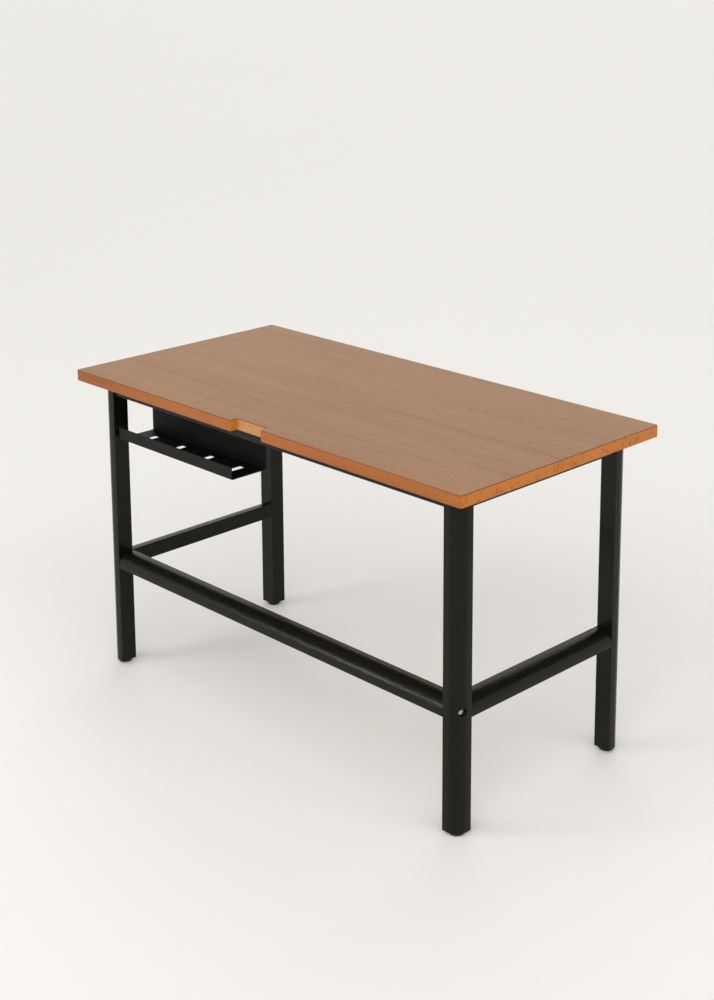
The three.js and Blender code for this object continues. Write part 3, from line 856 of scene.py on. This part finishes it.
def makeScrew(name, kind, length):
    # a pan head screw that points up, with its seat at the origin
    head, headLength, shank = kind["head"], kind["headLength"], kind["shank"]
    made = addRod(name, head, (0, 0, -headLength), (0, 0, 0))
    edit(made)
    pickEdges(made, atPlane(2, -headLength))
    bevelPicked(headLength * screwShape["dome"], 5)
    pickFaces(made, lambda place, normal: normal.z > 0.9)
    bpy.ops.mesh.inset(thickness=head - shank)
    extrudePicked((0, 0, length - screwShape["tip"]))
    extrudePicked((0, 0, screwShape["tip"]))
    tipShare = screwShape["tipShare"]
    bpy.ops.transform.resize(value=(tipShare, tipShare, 1), center_override=(0, 0, length))
    edit(made, False)
    halfLong, halfWide = screwShape["crossLength"] / 2, screwShape["crossWidth"] / 2
    floor = screwShape["crossDepth"] - headLength
    for alongX, alongY in ((halfLong, halfWide), (halfWide, halfLong)):
        combine(made, addBlock("cutter", (-alongX, -alongY, -headLength - mm), (alongX, alongY, floor)))
    finishShape(made, screwShape["widestArris"])
    return made


def copyTo(template, name, place):                     # a copy with its own mesh
    focus(template)
    bpy.ops.object.duplicate(linked=False)
    made = bpy.context.object
    made.name = name
    made.location = place
    settle(made)
    return made


def makeScrews():
    sizes = ((topScrew, "screwPattern", "top_screw_"), (trayScrew, "trayScrewPattern", "tray_screw_"))
    for kind, patternName, prefix in sizes:
        nodes = sorted(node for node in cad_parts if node.startswith(prefix))
        low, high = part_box(nodes[0])
        pattern = makeScrew(patternName, kind, high.z - low.z - kind["headLength"])
        for node in nodes:
            low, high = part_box(node)
            seat = Vector(((low.x + high.x) / 2, (low.y + high.y) / 2, low.z + kind["headLength"]))
            words = node.split("_")
            made = copyTo(pattern, words[0] + "".join(word.capitalize() for word in words[1:]), seat)
            dress(made, "zinc", "zinc_steel", "table", node)
        bpy.data.objects.remove(pattern)


for side, sign in (("left", -1), ("right", 1)):
    makeBolt(side, sign)
    makeNut(side)
makeScrews()
print("bolts, nuts and screws made")


# Levelling glides: a nylon pad that hangs on a threaded stud

pad = {"radius": 15 * mm, "height": 6.7 * mm, "footRound": 1.5 * mm, "rimRound": 0.8 * mm,
       "recess": 8 * mm, "recessFloor": 3.5 * mm, "pivot": 3.3 * mm, "pivotFloor": 1.5 * mm,
       "widestArris": 0.5 * mm}
stud = {"radius": 4 * mm, "pivot": 3 * mm, "foot": 1.8 * mm, "shoulder": 4.5 * mm, "hex": 7.5 * mm,
        "hexLow": 3.8 * mm, "hexHigh": 6.4 * mm, "top": 30 * mm, "tip": 0.5 * mm, "rings": 40,
        "threadFrom": 7 * mm, "threadTo": 28.5 * mm, "threadRoot": 0.86, "hexEdge": 0.3 * mm,
        "widestArris": 0.3 * mm}


def makePad():
    made = addRod("padPattern", pad["radius"], (0, 0, 0), (0, 0, pad["height"]), 64)
    edit(made)
    pickEdges(made, atPlane(2, 0))
    bevelPicked(pad["footRound"], 5)
    pickEdges(made, atPlane(2, pad["height"]))
    bevelPicked(pad["rimRound"], 4)
    pickFaces(made, lambda place, normal: normal.z > 0.99)
    bpy.ops.mesh.inset(thickness=pad["radius"] - pad["rimRound"] - pad["recess"])
    extrudePicked((0, 0, pad["recessFloor"] - pad["height"]))
    bpy.ops.mesh.inset(thickness=pad["recess"] - pad["pivot"])
    extrudePicked((0, 0, pad["pivotFloor"] - pad["recessFloor"]))
    edit(made, False)
    finishShape(made, pad["widestArris"])
    return made


def makeStud():
    made = addRod("studPattern", stud["radius"], (0, 0, stud["shoulder"]), (0, 0, stud["top"]))
    edit(made)
    pickEdges(made, lambda start, end: abs(start.z - end.z) > stud["hex"])
    bpy.ops.mesh.subdivide(number_cuts=stud["rings"])
    spacing = (stud["top"] - stud["shoulder"]) / (stud["rings"] + 1)

    def isRoot(start, end):                            # every other ring is drawn in to the thread's root
        number = round((start.z - stud["shoulder"]) / spacing)
        inThread = stud["threadFrom"] < start.z < stud["threadTo"]
        return near(start.z, end.z) and inThread and number % 2 == 0

    pickEdges(made, isRoot)
    bpy.ops.transform.resize(value=(stud["threadRoot"], stud["threadRoot"], 1), center_override=(0, 0, 0))
    pickEdges(made, atPlane(2, stud["top"]))
    bevelPicked(stud["tip"], 2)
    pickFaces(made, lambda place, normal: normal.z < -0.99)
    bpy.ops.mesh.inset(thickness=stud["radius"] - stud["pivot"])
    extrudePicked((0, 0, stud["foot"] - stud["shoulder"]))
    edit(made, False)
    hexNut = addRod("hexPattern", stud["hex"], (0, 0, stud["hexLow"]), (0, 0, stud["hexHigh"]), 6)
    edit(hexNut)
    bpy.ops.mesh.select_all(action="SELECT")
    bevelPicked(stud["hexEdge"], 2)
    edit(hexNut, False)
    combine(made, hexNut, "UNION")
    finishShape(made, stud["widestArris"])
    return made


def makeGlides():
    padPattern, studPattern = makePad(), makeStud()
    for name, (corner, _, _) in corners.items():
        low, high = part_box(f"glide_pad_{corner}")
        place = ((low.x + high.x) / 2, (low.y + high.y) / 2, low.z)
        made = copyTo(padPattern, f"glidePad{name}", place)
        dress(made, "nylon", "black_nylon", f"pad_{corner}", f"glide_pad_{corner}")
        made = copyTo(studPattern, f"glideStud{name}", place)
        dress(made, "zinc", "zinc_steel", f"stud_{corner}", f"glide_stud_{corner}")
    bpy.data.objects.remove(padPattern)
    bpy.data.objects.remove(studPattern)


makeGlides()
print("glides made")


# What stays as the frame has it, with better finishes

for name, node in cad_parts.items():
    if node.hide_render:
        continue
    finish = "zinc"
    if "tenon" in name or "dowel" in name:
        alongX = name.startswith(("rail_dowel", "stretcher_dowel"))
        finish = "beechAlongX" if alongX else "beechAlongY"
    node.data.materials.clear()
    node.data.materials.append(finishes[finish])
